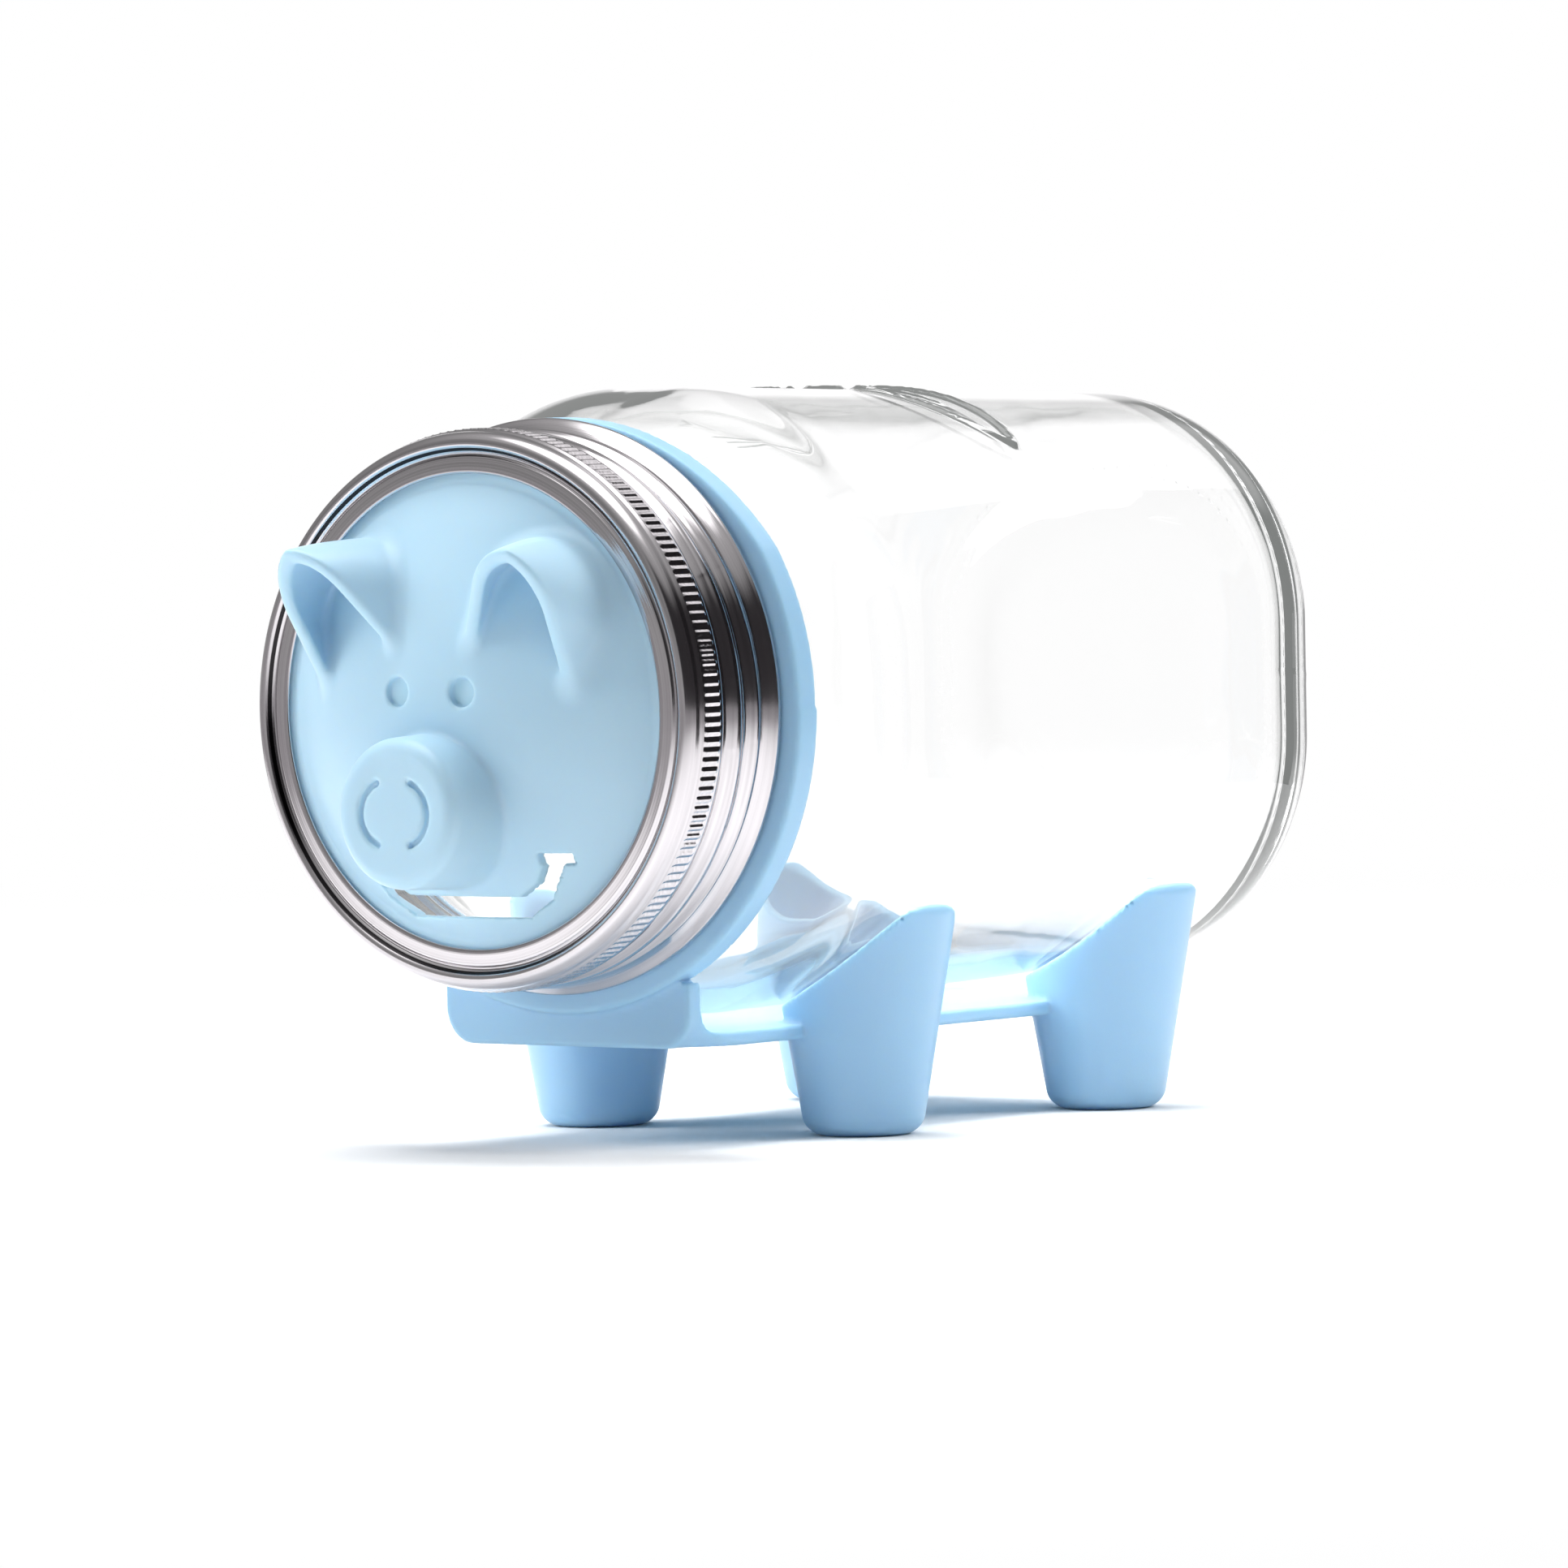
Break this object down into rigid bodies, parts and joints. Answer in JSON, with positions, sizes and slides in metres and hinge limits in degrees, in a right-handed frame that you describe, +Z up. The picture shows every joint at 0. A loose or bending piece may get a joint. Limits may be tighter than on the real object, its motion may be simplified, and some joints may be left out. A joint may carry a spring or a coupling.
{
  "type": "coin bank jar",
  "caption": "Glass jar lying on a legged plastic stand, closed by a pig-face lid with a coin slot under a threaded steel band.",
  "frame": {"origin": "on the surface the feet stand on, under the middle of the overall length and width", "axes": "+Z up, +Y from the pig's face back to the jar's base along the jar's axis, +X towards the pig's left"},
  "size_m": [0.102, 0.1948, 0.122],
  "materials": {
    "clear_glass": "clear pressed glass, glossy",
    "tinned_steel": "bright tin-plated sheet steel",
    "lid_plastic": "satin light-blue moulded plastic",
    "stand_plastic": "satin light-blue moulded plastic"
  },
  "bodies": {
    "root": {"glass_jar": "clear_glass", "stand": "stand_plastic"},
    "lid": {"pig_face_lid": "lid_plastic"},
    "band": {"screw_band": "tinned_steel"}
  },
  "joints": [
    {"name": "lid_travel", "type": "slide", "parent": "root", "child": "lid", "axis": [0, -1, 0], "range_m": [0, 0.00762]},
    {"name": "band_turn", "type": "hinge", "parent": "lid", "child": "band", "pos_m": [0, -0.067, 0.071], "axis": [0, -1, 0], "range_deg": [0, 540]}
  ],
  "couplings": [
    {"joint": "lid_travel", "follows": "band_turn", "m_per_rad": 0.00080851}
  ]
}
